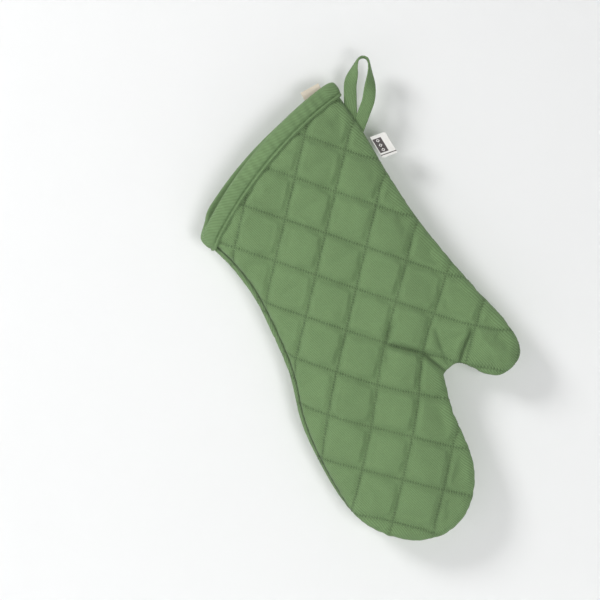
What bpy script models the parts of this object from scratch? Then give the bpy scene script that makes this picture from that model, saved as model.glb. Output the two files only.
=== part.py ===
"""A quilted oven mitt that hangs by its loop.

The mitt is drawn flat on its own grain, "along" running from the cuff to the fingertips and "across"
from the little finger's edge to the thumb's, and then turned by HANG_TILT about the hook it hangs on.
Each half has a cover, a batting and a lining. Where the mitt folds in use, the layers are parted, so that
the fingers and the thumb turn on the hand. +X is to the right, -Y is towards the viewer, +Z is up, and
the origin is where the hook meets the inside of the loop. Lengths are metres.
"""

import math

import bmesh
import bpy
from mathutils import Matrix, Vector
from mathutils.geometry import delaunay_2d_cdt

for thing in list(bpy.data.objects):
    bpy.data.objects.remove(thing, do_unlink=True)

MM = 0.001

# How the mitt hangs.
HANG_TILT = math.radians(29.0)
PATTERN_START = Vector((-145.3, 0.0, -86.4)) * MM

# The seam line, as (along, across) in millimetres: from the cuff round the fingers to the crotch,
# and from the crotch round the thumb back to the cuff.
FINGER_EDGE = [
    (55, 0), (87, 9), (118, 12), (169, 8), (203, -1), (229, -4.5), (260, -4.7), (286, -2), (303, 5),
    (318, 17), (328, 32), (333, 48), (332, 60), (325, 77), (309, 91), (290, 98), (263, 101),
    (246, 104), (229, 108.7),
]  # fmt: skip
THUMB_EDGE = [
    (229, 108.7), (227, 119.5), (234, 127), (244, 134), (250, 143), (250, 153), (245, 164),
    (234, 169), (216, 168), (197, 163.7), (158, 154.7), (120, 148), (85, 145), (42, 143.5), (0, 140),
]  # fmt: skip
CUFF_BOW = 9.0 * MM
EDGE_STEP = 10.0 * MM
CROTCH_STEPS = 4

# Where the mitt folds, as points (along, across) in millimetres. The axes lie just in front of the covers.
KNUCKLE_ALONG = 232.0 * MM
KNUCKLE_ACROSS = 50.0 * MM
AXIS_CLEAR = 0.2 * MM
THUMB_FOLD = (Vector((151, 153)) * MM, Vector((229, 111)) * MM)
FOLD_GAP = 0.5 * MM

# The layers of one half, from the outside in.
COVER = 0.8 * MM
BATTING = 4.0 * MM
LINING = 0.5 * MM
LAYER_GAP = 0.5 * MM
HALF_GAP = 0.15 * MM
LAYER_INSET = 2.0 * MM
STACK = COVER + BATTING + LINING + 2 * LAYER_GAP + HALF_GAP
RIM = 5.5 * MM
RIM_HEIGHT = 0.5
SKIRT = 1.0 * MM
SKIRT_STEP = 0.15 * MM
RINGS_PAST_RIM = (1.0 * MM, 9.0 * MM)
HOLLOW = 7.0 * MM
HOLLOW_REACH = 36.0 * MM
LATTICE = 22.0 * MM
LATTICE_ROW = 0.9
LATTICE_CLEAR = 19.0 * MM
FOLD_STEP = 11.0 * MM

# The bias binding round the mouth, and the thread that sews it down.
BINDING_WIDTH = 12.0 * MM
BINDING = 1.0 * MM
BINDING_LINING_SIDE = 0.5 * MM
BINDING_GAP = 0.5 * MM
BINDING_PRESS = 0.45
BINDING_FADE = 10.0 * MM
BINDING_STATIONS = 18
BINDING_END_TURNS = (-0.6, 0.0, 0.6)
BINDING_INNER_END = 7.0 * MM
CUFF_FOLDS = (BINDING_WIDTH + BINDING_GAP, BINDING_WIDTH + BINDING_FADE)
THREAD_RADIUS = 0.4 * MM
THREAD_FROM_EDGE = 1.6 * MM
THREAD_SIDES = 5

# The hanging loop: the middle of its tape in the plane of the mitt, as (X, Z) in millimetres from the
# hook, and the stretch of the thumb's seam that it is sewn along.
LOOP_PATH = [
    (-9.2, -34.0), (-9.4, -20.0), (-7.0, -10.0), (-4.9, -3.4), (-2.9, -0.3), (0.0, 0.8),
    (2.9, -0.3), (4.4, -3.4), (5.2, -10.0), (5.3, -20.0), (3.8, -32.0), (-0.6, -44.0),
]  # fmt: skip
LOOP_WIDTH = 8.4 * MM
LOOP_THICKNESS = 1.6 * MM
LOOP_STEP = 3.0 * MM
LOOP_TOP = 0.45
LOOP_ARCH = 5.0 * MM
LOOP_FLAT = 14.0 * MM
LOOP_SEAM = (11.0 * MM, 42.0 * MM)
LOOP_CLEAR = 2.4 * MM

# The folded label in the thumb's seam, and the care label inside the mouth.
LABEL_SEAM = (48.0 * MM, 67.0 * MM)
LABEL_REACH = 11.0 * MM
LABEL_DROOP = 2.0 * MM
LABEL_THICKNESS = 0.8 * MM
LABEL_CLEAR = 0.9 * MM
CARE_ALONG = (-5.0 * MM, 32.0 * MM)
CARE_ACROSS = (116.0 * MM, 131.0 * MM)
CARE_THICKNESS = 0.6 * MM

GREEN = (0.165, 0.262, 0.114)
GREEN_DEEP = (0.135, 0.220, 0.095)
WHITE = (0.80, 0.79, 0.76)
BEIGE = (0.70, 0.60, 0.48)
WADDING = (0.86, 0.85, 0.82)


# ---------------------------------------------------------------- plane geometry


def through(points, step):
    """A smooth curve through the points, with a point about every step along it."""
    spots = [Vector(p) for p in points]
    ends = [2 * spots[0] - spots[1]] + spots + [2 * spots[-1] - spots[-2]]
    path = []
    for before, a, b, after in zip(ends, ends[1:], ends[2:], ends[3:]):
        count = max(1, round((b - a).length / step))
        for k in range(count):
            t = k / count
            path.append(
                0.5
                * (
                    2 * a
                    + (b - before) * t
                    + (2 * before - 5 * a + 4 * b - after) * t**2
                    + (3 * a - before - 3 * b + after) * t**3
                )
            )
    return path + [spots[-1]]


def inset(distance):
    """The seam line moved into the mitt, with an arc round the crotch."""
    moved = []
    for path in (FINGERS, THUMB):
        for k, spot in enumerate(path):
            run = path[min(k + 1, len(path) - 1)] - path[max(k - 1, 0)]
            normal = Vector((-run.y, run.x)).normalized()
            if k == 0 and moved and distance:
                before = (moved[-1] - spot) / distance
                turns = [n / CROTCH_STEPS for n in range(1, CROTCH_STEPS)]
                moved += [spot + before.slerp(normal, turn) * distance for turn in turns]
            if distance or k or not moved:
                moved.append(spot + normal * distance)
    return moved


def stretches(path, side):
    """The path cut into its stretches where side(point) is over 0, with the crossings added."""
    found, run = [], []
    for a, b in zip(path, path[1:]):
        at, to = side(a), side(b)
        if at > 0 and not run:
            run = [a]
        if at * to < 0:
            crossing = a.lerp(b, at / (at - to))
            run.append(crossing)
            if at > 0:
                found.append(run)
                run = []
        if to > 0:
            run.append(b)
    return found + [run] if run else found


FINGERS = through([Vector(p) * MM for p in FINGER_EDGE], EDGE_STEP)
THUMB = through([Vector(p) * MM for p in THUMB_EDGE], EDGE_STEP)
CUFF_LEFT, CUFF_RIGHT = FINGERS[0], THUMB[-1]
CUFF_RUN = CUFF_RIGHT - CUFF_LEFT
CUFF_IN = Vector((-CUFF_RUN.y, CUFF_RUN.x)).normalized() * -1


def seam_distance(spot):
    """How far a point is from the seam line."""
    nearest = 1.0
    for path in (FINGERS, THUMB):
        for a, b in zip(path, path[1:]):
            run = b - a
            t = min(1.0, max(0.0, (spot - a).dot(run) / run.length_squared))
            nearest = min(nearest, (spot - a - run * t).length)
    return nearest


def cuff_distance(spot):
    """How far a point is inside the bowed edge of the cuff."""
    t = (spot - CUFF_LEFT).dot(CUFF_RUN) / CUFF_RUN.length_squared
    return (spot - CUFF_LEFT).dot(CUFF_IN) + 4 * CUFF_BOW * t * (1 - t)


def below_knuckle(spot):
    return spot.x - KNUCKLE_ALONG


def past_thumb_fold(spot):
    start, end = THUMB_FOLD
    run = end - start
    return (spot - start).dot(Vector((-run.y, run.x)).normalized())


def cuff_points(left, right, distance):
    """Points along the cuff's edge from its right end to its left, at that distance inside it."""
    count = round(CUFF_RUN.length / EDGE_STEP)
    points = []
    for k in range(1, count):
        spot = right.lerp(left, k / count)
        points.append(spot + CUFF_IN * (distance - cuff_distance(spot)))
    return points


def outlines(distance, cuff):
    """The outline of each moving part of a layer, set in from the seam and from the cuff's edge."""
    seam, half = inset(distance), FOLD_GAP / 2

    def in_hand(spot):
        chord = (spot - CUFF_LEFT).dot(CUFF_IN) - cuff
        return min(-below_knuckle(spot) - half, -past_thumb_fold(spot) - half, chord)

    hand = stretches(seam, in_hand)
    across = cuff_points(hand[0][0], hand[-1][-1], cuff)
    return {
        "hand": [spot for run in hand for spot in run] + across,
        "fingers": stretches(seam, lambda spot: below_knuckle(spot) - half)[0],
        "thumb": stretches(seam, lambda spot: past_thumb_fold(spot) - half)[-1],
    }


def with_fold_points(outline):
    """The outline with points along its folds, at the same places across the mitt on every layer."""
    spots = []
    for a, b in zip(outline, outline[1:] + outline[:1]):
        spots.append(a)
        low, high = sorted((a.y, b.y))
        first, last = math.ceil(low / FOLD_STEP), math.floor(high / FOLD_STEP)
        if (b - a).length > 2 * FOLD_STEP:
            marks = [a.lerp(b, (n * FOLD_STEP - a.y) / (b.y - a.y)) for n in range(first, last + 1)]
            spots += marks if b.y > a.y else marks[::-1]
    return spots


def winding(path):
    return sum(a.cross(b) for a, b in zip(path, path[1:] + path[:1]))


def inside(spot, loop):
    hits = False
    for a, b in zip(loop, loop[1:] + loop[:1]):
        if (a.y > spot.y) != (b.y > spot.y):
            if spot.x < a.x + (spot.y - a.y) * (b.x - a.x) / (b.y - a.y):
                hits = not hits
    return hits


# ---------------------------------------------------------------- thickness of the layers


def press(spot):
    """1 where the batting is full, less where the binding squeezes it."""
    t = min(1.0, max(0.0, (cuff_distance(spot) - BINDING_WIDTH) / BINDING_FADE))
    return BINDING_PRESS + (1 - BINDING_PRESS) * t * t * (3 - 2 * t)


def hollow(spot):
    """Half the height of the space for the hand."""
    t = min(1.0, seam_distance(spot) / HOLLOW_REACH)
    return HALF_GAP + HOLLOW * math.sin(t * math.pi / 2)


def rim(spot):
    """1 over the whole half, falling to RIM_HEIGHT at the seam."""
    t = min(1.0, seam_distance(spot) / RIM)
    return RIM_HEIGHT + (1 - RIM_HEIGHT) * math.sqrt(1 - (1 - t) ** 2)


def cover_top(spot):
    stack = STACK - HALF_GAP - BATTING * (1 - press(spot))
    return hollow(spot) + stack * rim(spot)


def cover_bottom(spot):
    if seam_distance(spot) < SKIRT + SKIRT_STEP / 2:
        return HALF_GAP
    return cover_top(spot) - COVER


def batting_top(spot):
    return cover_top(spot) - COVER - LAYER_GAP


def batting_bottom(spot):
    return hollow(spot) + LINING + LAYER_GAP


def lining_top(spot):
    return hollow(spot) + LINING


# ---------------------------------------------------------------- modelling


def material(name, colour, roughness):
    made = bpy.data.materials.new(name)
    made.use_nodes = True
    surface = made.node_tree.nodes["Principled BSDF"]
    surface.inputs["Base Color"].default_value = (*colour, 1.0)
    surface.inputs["Roughness"].default_value = roughness
    surface.inputs["Metallic"].default_value = 0.0
    made.diffuse_color = (*colour, 1.0)
    return made


def place(name, bm, parent, surface):
    """The mesh as a named object under its body's empty, its points still in the pattern's frame."""
    bmesh.ops.recalc_face_normals(bm, faces=bm.faces[:])
    bmesh.ops.triangulate(bm, faces=bm.faces[:])
    mesh = bpy.data.meshes.new(name)
    bm.to_mesh(mesh)
    bm.free()
    mesh.shade_smooth()
    mesh.set_sharp_from_angle(angle=math.radians(40))
    mesh.materials.append(surface)
    made = bpy.data.objects.new(name, mesh)
    PARTS.objects.link(made)
    if parent:
        made.parent = parent
        made.location = -parent.location
    return made


def joint_empty(name, spot):
    """An empty on a joint's axis, given in the pattern's frame."""
    made = bpy.data.objects.new(name, None)
    made.empty_display_size = 0.02
    PARTS.objects.link(made)
    made.parent = PATTERN
    made.location = spot
    return made


def in_pattern(spot, depth):
    """The pattern's frame: X across, Y depth, Z up the mitt."""
    return Vector((spot.y, depth, -spot.x))


def layer(name, parent, surface, side, outline, rings, bottom, top):
    """A closed slab over an outline, between two heights, on the front (-1) or the back (+1).

    It is folded along the rings, which run that far inside the seam, and along the binding's edge."""
    if winding(outline) < 0:
        outline = outline[::-1]
    outline = with_fold_points(outline)
    spots = list(outline)
    edges = [(k, (k + 1) % len(spots)) for k in range(len(spots))]
    left, right = CUFF_LEFT - CUFF_RUN / 10, CUFF_RIGHT + CUFF_RUN / 10
    lines = [inset(distance) for distance in rings]
    lines += [cuff_points(left, right, distance) for distance in CUFF_FOLDS]
    for line in lines:
        edges += [(len(spots) + k, len(spots) + k + 1) for k in range(len(line) - 1)]
        spots += line
    lows = [min(p[k] for p in outline) for k in (0, 1)]
    highs = [max(p[k] for p in outline) for k in (0, 1)]
    for i in range(math.floor(lows[0] / LATTICE), math.ceil(highs[0] / LATTICE) + 1):
        for j in range(math.floor(lows[1] / LATTICE), math.ceil(highs[1] / LATTICE) + 1):
            spot = Vector((i + 0.5 * (j % 2), j * LATTICE_ROW)) * LATTICE
            past_cuff = cuff_distance(spot) - CUFF_FOLDS[1]
            folds = min(abs(below_knuckle(spot)), abs(past_thumb_fold(spot)), past_cuff)
            if inside(spot, outline) and folds > FOLD_STEP / 2 and seam_distance(spot) > LATTICE_CLEAR:
                spots.append(spot)
    cut = delaunay_2d_cdt(spots, edges, [list(range(len(outline)))], 0, 1e-6)
    flat = cut[0]
    faces = [face for face, inside_of in zip(cut[2], cut[5]) if inside_of]
    bm = bmesh.new()
    lower = {k: bm.verts.new(in_pattern(flat[k], side * bottom(flat[k]))) for face in faces for k in face}
    base = [bm.faces.new([lower[k] for k in face]) for face in faces]
    raised = bmesh.ops.extrude_face_region(bm, geom=base)["geom"]
    for vert in raised:
        if isinstance(vert, bmesh.types.BMVert):
            vert.co.y = side * top(Vector((-vert.co.z, vert.co.x)))
    return place(name, bm, parent, surface)


def swept(name, parent, surface, sections, closed=False):
    """A closed solid through sections of equally many corners, round a ring or with its ends filled."""
    bm = bmesh.new()
    rings = [[bm.verts.new(corner) for corner in section] for section in sections]
    pairs = list(zip(rings, rings[1:])) + ([(rings[-1], rings[0])] if closed else [])
    for ring, after in pairs:
        for k, corner in enumerate(ring):
            following = (k + 1) % len(ring)
            bm.faces.new((corner, ring[following], after[following], after[k]))
    if not closed:
        bm.faces.new(rings[0])
        bm.faces.new(rings[-1])
    return place(name, bm, parent, surface)


# ---------------------------------------------------------------- the pieces


def make_layers(bodies):
    cover = material("green_twill", GREEN, 0.85)
    wadding = material("batting", WADDING, 0.95)
    lining = material("green_lining", GREEN_DEEP, 0.85)
    covers = outlines(0.0, BINDING + BINDING_GAP)
    insides = outlines(LAYER_INSET, BINDING + BINDING_GAP)
    inner_rings = [RIM + beyond for beyond in RINGS_PAST_RIM]
    skirt_rings = (SKIRT, SKIRT + SKIRT_STEP, *inner_rings)
    for side, half in ((-1, "front"), (1, "back")):
        for part, parent in bodies.items():
            stack = (
                ("cover", cover, covers[part], skirt_rings, cover_bottom, cover_top),
                ("batting", wadding, insides[part], inner_rings, batting_bottom, batting_top),
                ("lining", lining, insides[part], inner_rings, hollow, lining_top),
            )
            for cloth, surface, outline, rings, bottom, top in stack:
                layer(f"{half}_{cloth}_{part}", parent, surface, side, outline, rings, bottom, top)


def cuff_spot(t, distance, past=0.0):
    """A point t of the way across the cuff from its left end, that far inside its edge.

    past moves it out beyond the nearer end."""
    left, right = cuff_ends(distance)
    spot = left.lerp(right, t) + CUFF_RUN.normalized() * math.copysign(past, t - 0.5)
    return spot + CUFF_IN * (distance - cuff_distance(spot))


def cuff_ends(distance):
    """Where the seam line is that far inside the straight line of the cuff, at its left and right."""

    def chord(spot):
        return (spot - CUFF_LEFT).dot(CUFF_IN) - distance

    return stretches(FINGERS, chord)[0][0], stretches(THUMB, chord)[-1][-1]


def mouth_stations():
    """(t, turn) round the mouth: turn is -1 on the front, 1 on the back and between them at the ends."""
    count = BINDING_STATIONS
    spread = [0.5 - 0.5 * math.cos(math.pi * k / count) for k in range(1, count)]
    front = [(t, -1.0) for t in spread] + [(1.0, turn) for turn in BINDING_END_TURNS]
    back = [(t, 1.0) for t in reversed(spread)] + [(0.0, -turn) for turn in BINDING_END_TURNS]
    return front + back


def outer_ring(station, distance, outward):
    """A point of the mouth's ring, that far outside the covers."""
    t, turn = station
    if abs(turn) < 1:
        height = cover_top(cuff_spot(t, distance))
        return in_pattern(cuff_spot(t, distance, outward), turn * (height + outward))
    spot = cuff_spot(t, distance)
    return in_pattern(spot, turn * (cover_top(spot) + outward))


def inner_ring(station, distance, inward):
    """A point of the mouth's ring, that far inside the linings."""
    t, turn = station
    margin = (BINDING_INNER_END + inward) / CUFF_RUN.length
    spot = cuff_spot(margin + (1 - 2 * margin) * t, distance)
    return in_pattern(spot, turn * (hollow(spot) - inward))


def make_binding(hand):
    near, far = BINDING_GAP, BINDING_GAP + BINDING
    lining = BINDING_GAP + BINDING_LINING_SIDE
    stations = mouth_stations()

    def section(k):
        station = stations[k]
        return [
            outer_ring(station, BINDING_WIDTH, far),
            outer_ring(station, 0.0, far),
            inner_ring(station, 0.0, lining),
            inner_ring(station, BINDING_WIDTH, lining),
            inner_ring(station, BINDING_WIDTH, near),
            inner_ring(station, BINDING, near),
            outer_ring(station, BINDING, near),
            outer_ring(station, BINDING_WIDTH, near),
        ]

    def thread(k):
        centre = BINDING_WIDTH - THREAD_FROM_EDGE
        middle = outer_ring(stations[k], centre, far + LAYER_GAP + THREAD_RADIUS)
        up = outer_ring(stations[k], centre - THREAD_RADIUS, far + LAYER_GAP + THREAD_RADIUS) - middle
        out = outer_ring(stations[k], centre, far + LAYER_GAP + 2 * THREAD_RADIUS) - middle
        turns = [2 * math.pi * n / THREAD_SIDES for n in range(THREAD_SIDES)]
        return [middle + up * math.cos(turn) + out * math.sin(turn) for turn in turns]

    binding = material("green_binding", GREEN, 0.85)
    swept("cuff_binding", hand, binding, [section(k) for k in range(len(stations))], closed=True)
    sewn = material("green_thread", GREEN_DEEP, 0.7)
    swept("binding_thread", hand, sewn, [thread(k) for k in range(len(stations))], closed=True)


def seam_at(along):
    """The thumb's seam beside the wrist, at that distance along the mitt."""
    past = stretches(THUMB, lambda spot: spot.x - along)[-1]
    return past[-1]


def beside_seam(stretch, clear):
    """A straight line beside a stretch of the thumb's seam: its two ends and the way out of the mitt."""
    start, end = seam_at(stretch[0]), seam_at(stretch[1])
    run = (end - start).normalized()
    out = Vector((-run.y, run.x))
    return start + out * clear, end + out * clear, out


def make_loop():
    """The tape: it lies flat where it is sewn and turns a quarter to pass over the hook."""
    path = through([Vector(p) * MM for p in LOOP_PATH], LOOP_STEP)
    start, end, _ = beside_seam(LOOP_SEAM, LOOP_CLEAR)
    anchor = [PATTERN_MATRIX @ in_pattern(spot, 0.0) for spot in (start, end)]
    fold_run = (anchor[1] - anchor[0]).normalized()
    total = sum((b - a).length for a, b in zip(path, path[1:]))
    travelled = 0.0
    sections = []
    for k, spot in enumerate(path):
        if k:
            travelled += (spot - path[k - 1]).length
        ahead = path[min(k + 1, len(path) - 1)] - path[max(k - 1, 0)]
        tangent = Vector((ahead.x, 0.0, ahead.y)).normalized()
        apart = abs(travelled - total * LOOP_TOP)
        reach = (total * LOOP_TOP if travelled < total * LOOP_TOP else total * (1 - LOOP_TOP)) - LOOP_FLAT
        ease = min(1.0, max(0.0, (apart - LOOP_ARCH) / (reach - LOOP_ARCH)))
        turn = math.pi / 2 * ease * ease * (3 - 2 * ease)
        outward = Vector((-tangent.z, 0.0, tangent.x))
        normal = outward * math.cos(turn) + tangent.cross(outward) * math.sin(turn)
        width = tangent.cross(normal)
        centre = Vector((spot.x, 0.0, spot.y))
        corners = []
        for i, j in ((-1, -1), (1, -1), (1, 1), (-1, 1)):
            corner = centre + width * (i * LOOP_WIDTH / 2) + normal * (j * LOOP_THICKNESS / 2)
            if k in (0, len(path) - 1):
                corner = onto_line(corner, tangent, anchor[0], fold_run)
            corners.append(corner)
        sections.append(corners)
    tape = material("green_tape", GREEN, 0.85)
    swept("hanging_loop", None, tape, sections)


def onto_line(corner, tangent, start, run):
    """The corner moved along the tangent, in the plane of the mitt, until it reaches a line."""
    across = Vector((-run.z, 0.0, run.x))
    return corner + tangent * ((start - corner).dot(across) / tangent.dot(across))


def make_labels(bodies):
    woven = material("white_label", WHITE, 0.6)
    satin = material("beige_care_label", BEIGE, 0.5)
    start, end, out = beside_seam(LABEL_SEAM, LABEL_CLEAR)
    droop = (end - start).normalized() * LABEL_DROOP
    half = LABEL_THICKNESS / 2
    corners = ((start, -half), (end, -half), (end, half), (start, half))
    near = [in_pattern(spot, depth) for spot, depth in corners]
    shift = in_pattern(out * LABEL_REACH + droop, 0.0)
    swept("side_label", bodies["side_label"], woven, [near, [spot + shift for spot in near]])
    half = CARE_THICKNESS / 2
    top, low = CARE_ALONG
    corners = ((top, -half), (low, -half), (low, half), (top, half))
    ends = []
    for across in CARE_ACROSS:
        ends.append([in_pattern(Vector((along, across)), depth) for along, depth in corners])
    swept("care_label", bodies["care_label"], satin, ends)


PARTS = bpy.data.collections.new("oven_mitt")
PATTERN = bpy.data.objects.new("mitt_pattern", None)
PATTERN_MATRIX = Matrix.Translation(PATTERN_START) @ Matrix.Rotation(-HANG_TILT, 4, "Y")


def main():
    bpy.context.scene.collection.children.link(PARTS)
    PATTERN.location = PATTERN_START
    PATTERN.rotation_euler = (0.0, -HANG_TILT, 0.0)
    PARTS.objects.link(PATTERN)
    knuckle = Vector((KNUCKLE_ALONG, KNUCKLE_ACROSS))
    front = cover_top(knuckle) + AXIS_CLEAR
    loop_root = beside_seam(LOOP_SEAM, LOOP_CLEAR)[0]
    label_root = beside_seam(LABEL_SEAM, LABEL_CLEAR)[0]
    panels = {
        "hand": joint_empty("loop_fold_axis", in_pattern(loop_root, 0.0)),
        "fingers": joint_empty("finger_flex_axis", in_pattern(knuckle, -front)),
        "thumb": joint_empty("thumb_flex_axis", in_pattern(THUMB_FOLD[0], -front)),
    }
    care_root = Vector((CARE_ALONG[0], CARE_ACROSS[1]))
    labels = {
        "side_label": joint_empty("side_label_axis", in_pattern(label_root, 0.0)),
        "care_label": joint_empty("care_label_axis", in_pattern(care_root, 0.0)),
    }
    make_layers(panels)
    make_binding(panels["hand"])
    make_loop()
    make_labels(labels)


main()
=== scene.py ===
import math

import bmesh
import bpy
import numpy as np
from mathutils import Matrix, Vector
from mathutils.bvhtree import BVHTree
from mathutils.geometry import delaunay_2d_cdt

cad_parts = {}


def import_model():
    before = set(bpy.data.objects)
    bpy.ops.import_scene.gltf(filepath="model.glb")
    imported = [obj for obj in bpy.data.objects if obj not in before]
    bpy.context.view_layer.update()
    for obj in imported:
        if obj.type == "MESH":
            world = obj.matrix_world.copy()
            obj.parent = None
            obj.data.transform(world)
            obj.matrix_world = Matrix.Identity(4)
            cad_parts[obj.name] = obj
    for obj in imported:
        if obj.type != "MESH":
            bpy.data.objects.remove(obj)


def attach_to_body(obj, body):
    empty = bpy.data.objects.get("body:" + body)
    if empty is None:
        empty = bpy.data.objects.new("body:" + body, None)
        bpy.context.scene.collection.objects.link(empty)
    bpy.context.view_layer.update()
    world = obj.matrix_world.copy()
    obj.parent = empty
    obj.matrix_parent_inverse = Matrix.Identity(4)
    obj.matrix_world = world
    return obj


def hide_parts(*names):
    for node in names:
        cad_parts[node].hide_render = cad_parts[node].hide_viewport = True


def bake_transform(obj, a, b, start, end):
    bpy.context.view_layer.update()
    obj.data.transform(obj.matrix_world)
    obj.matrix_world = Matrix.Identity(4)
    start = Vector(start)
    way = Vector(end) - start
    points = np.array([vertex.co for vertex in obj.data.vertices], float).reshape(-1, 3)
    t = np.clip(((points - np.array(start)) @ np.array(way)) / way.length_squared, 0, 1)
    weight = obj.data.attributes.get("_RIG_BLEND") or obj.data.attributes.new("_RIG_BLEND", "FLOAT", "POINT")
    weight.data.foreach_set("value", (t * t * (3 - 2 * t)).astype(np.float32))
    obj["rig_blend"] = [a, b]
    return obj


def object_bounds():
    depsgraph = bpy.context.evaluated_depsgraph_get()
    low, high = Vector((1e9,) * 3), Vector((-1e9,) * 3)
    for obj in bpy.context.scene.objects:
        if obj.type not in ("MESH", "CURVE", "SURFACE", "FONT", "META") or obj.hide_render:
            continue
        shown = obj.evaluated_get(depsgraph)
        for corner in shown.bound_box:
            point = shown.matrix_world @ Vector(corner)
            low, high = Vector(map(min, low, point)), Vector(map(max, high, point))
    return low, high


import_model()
CAD_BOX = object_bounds()

# A quilted oven mitt that hangs by its loop. The mitt is cut flat: "along" runs from the cuff to the
# fingertips and "across" from the little finger to the thumb. It is then turned to how it hangs.
# Lengths are metres.

MM = 0.001

# ------------------------------------------------------------------ the pattern

HANG_TILT = math.radians(29.0)
PATTERN_START = np.array([-145.3, 0.0, -86.4]) * MM
DOWN = np.array([math.sin(HANG_TILT), 0.0, -math.cos(HANG_TILT)])
ACROSS = np.array([math.cos(HANG_TILT), 0.0, math.sin(HANG_TILT)])
BACK = np.array([0.0, 1.0, 0.0])

FINGER_EDGE = [
    (55, 0), (87, 9), (118, 12), (169, 8), (203, -1), (229, -4.5), (260, -4.7), (286, -2), (303, 5),
    (318, 17), (328, 32), (333, 48), (332, 60), (325, 77), (309, 91), (290, 98), (263, 101),
    (246, 104), (229, 108.7),
]  # fmt: skip
THUMB_EDGE = [
    (229, 108.7), (227, 119.5), (234, 127), (244, 134), (250, 143), (250, 153), (245, 164),
    (234, 169), (216, 168), (197, 163.7), (158, 154.7), (120, 148), (85, 145), (42, 143.5), (0, 140),
]  # fmt: skip
CUFF_BOW = 9.0 * MM
CROTCH = np.array([229.0, 108.7]) * MM
THUMB_FOLD = np.array([[151.0, 153.0], [229.0, 111.0]]) * MM
FOLD_RUN = THUMB_FOLD[1] - THUMB_FOLD[0]
FOLD_OUT = np.array([-FOLD_RUN[1], FOLD_RUN[0]]) / np.linalg.norm(FOLD_RUN)
SPLIT_BEFORE_FOLD = 14.0 * MM
SEAM_STEP = 2.2 * MM

# The quilting: straight rows of stitches that cross in diamonds.
QUILT_NODE = np.array([71.6, 60.3]) * MM
QUILT_HALF = np.array([23.3, 21.2]) * MM
QUILT_SIDE = float(np.hypot(*QUILT_HALF))
QUILT_DRIFT = 4.0 * MM
QUILT_TURN = 0.09
QUILT_TURN_FROM = 23.7 * MM
GATHER_AT = np.array([211.5, 114.0]) * MM
GATHER_REACH = 38.0 * MM
GATHER = np.array([-4.8, -2.4]) * MM
QUILT_ROWS = 12
STEPS_IN_CELL = 14

# The thickness of one half.
RIM = 9.0 * MM
RIM_HALF = 5.4 * MM
BACK_SHOWN = ([55, 80, 160, 203, 229, 260, 290], [2.0, 3.3, 3.3, 2.4, 1.9, 1.2, 0.3])
SEAM_PULL = 1.8 * MM
SEAM_PULL_REACH = 2.4 * MM
HOLLOW = 6.6 * MM
HOLLOW_REACH = 40.0 * MM
GROOVE = 1.6 * MM
GROOVE_WIDTH = 3.8 * MM
CREASE_REACH = 38.0 * MM
CREASE_DEEPER = 0.8
CREASE_WIDTH = 2.4 * MM
# The painted shade in the creases: its width, its fading towards their ends, and the crease depth at which
# it is full.
CREASE_LINE = 1.3 * MM
CREASE_FADE = 0.75
CREASE_FULL = 3.6
CREASES = [
    ((188, 81), (206, 101), 3.0), ((206, 101), (227, 110), 3.8), ((209, 141), (226, 121), 3.4),
    ((177, 92), (188, 81), 2.2), ((188, 81), (200, 74), 1.2), ((196, 118), (222, 113), 1.4),
]  # fmt: skip
WAVE = 1.1 * MM
WAVE_LENGTH = 62.0 * MM
COVER = 0.8 * MM
BINDING_WIDTH = 12.0 * MM
BINDING_PRESS = 0.62
OUTER_PRESS = (10 * MM, 12 * MM)
INNER_PRESS = (6 * MM, 18 * MM)
MOUTH_GAPE = 6.0 * MM
MOUTH_DEEPER = 3.0 * MM
STACK = 5.0 * MM
LINING = 0.5 * MM
LINING_FROM_SEAM = 6.0 * MM
LINING_REACH = 20.0 * MM

# ------------------------------------------------------------------ pieces and finishes

HALVES = ("front", "back")
PARTS = {"body": ("hand", "fingers"), "thumb": ("thumb",)}
FRONT_HAND, FRONT_THUMB, BACK_HAND, BACK_THUMB, MOUTH_CAP = range(5)
KNUCKLE_BEND = np.array([226.0, 270.0]) * MM
THUMB_BEND = np.array([-12.0, 12.0]) * MM

ON_SEAM = 0.01 * MM
CREASE_HELD = 1.6 * MM
PUFF_FRAMES = 22
PUFF_CAP = 4.0 * MM
PUFF_CLOTH = {
    "quality": 5, "mass": 0.3, "air_damping": 3.0, "tension_stiffness": 12.0, "compression_stiffness": 12.0,
    "shear_stiffness": 4.0, "bending_stiffness": 0.6, "shrink_min": -0.04, "shrink_max": -0.16,
    "vertex_group_shrink": "fuller", "use_pressure": True, "uniform_pressure_force": 4.0,
    "vertex_group_mass": "pinned", "pin_stiffness": 1.0,
}  # fmt: skip
QUILT_COUNT_FROM = 16
BATTING = 2.6 * MM
ROW_PRESS = 0.7
BATTING_GAP = 0.3 * MM
LINING_STEPS = 5

BINDING = 0.9 * MM
BINDING_ROLL = 0.9 * MM
BINDING_STEP = 0.75 * MM
BINDING_ROW = 0.45 * MM
INNER_FROM_SEAM = 6.5 * MM
INNER_BINDING = 1.2 * MM
MOUTH_TOP = 0.5 * MM
CORD_AT = 11.0 * MM
CORD_WIDTH = 1.1 * MM
CORD_HEIGHT = 0.8 * MM
SEWN_AT = 9.4 * MM
SEWN_WIDTH = 0.9 * MM
SEWN_DIP = 0.8 * MM
RIPPLE = 0.22 * MM
RIPPLE_LENGTH = 7.0 * MM

STITCH_PITCH = 2.0 * MM
STITCH_LENGTH = 1.3 * MM
THREAD_RADIUS = 0.2 * MM

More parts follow.
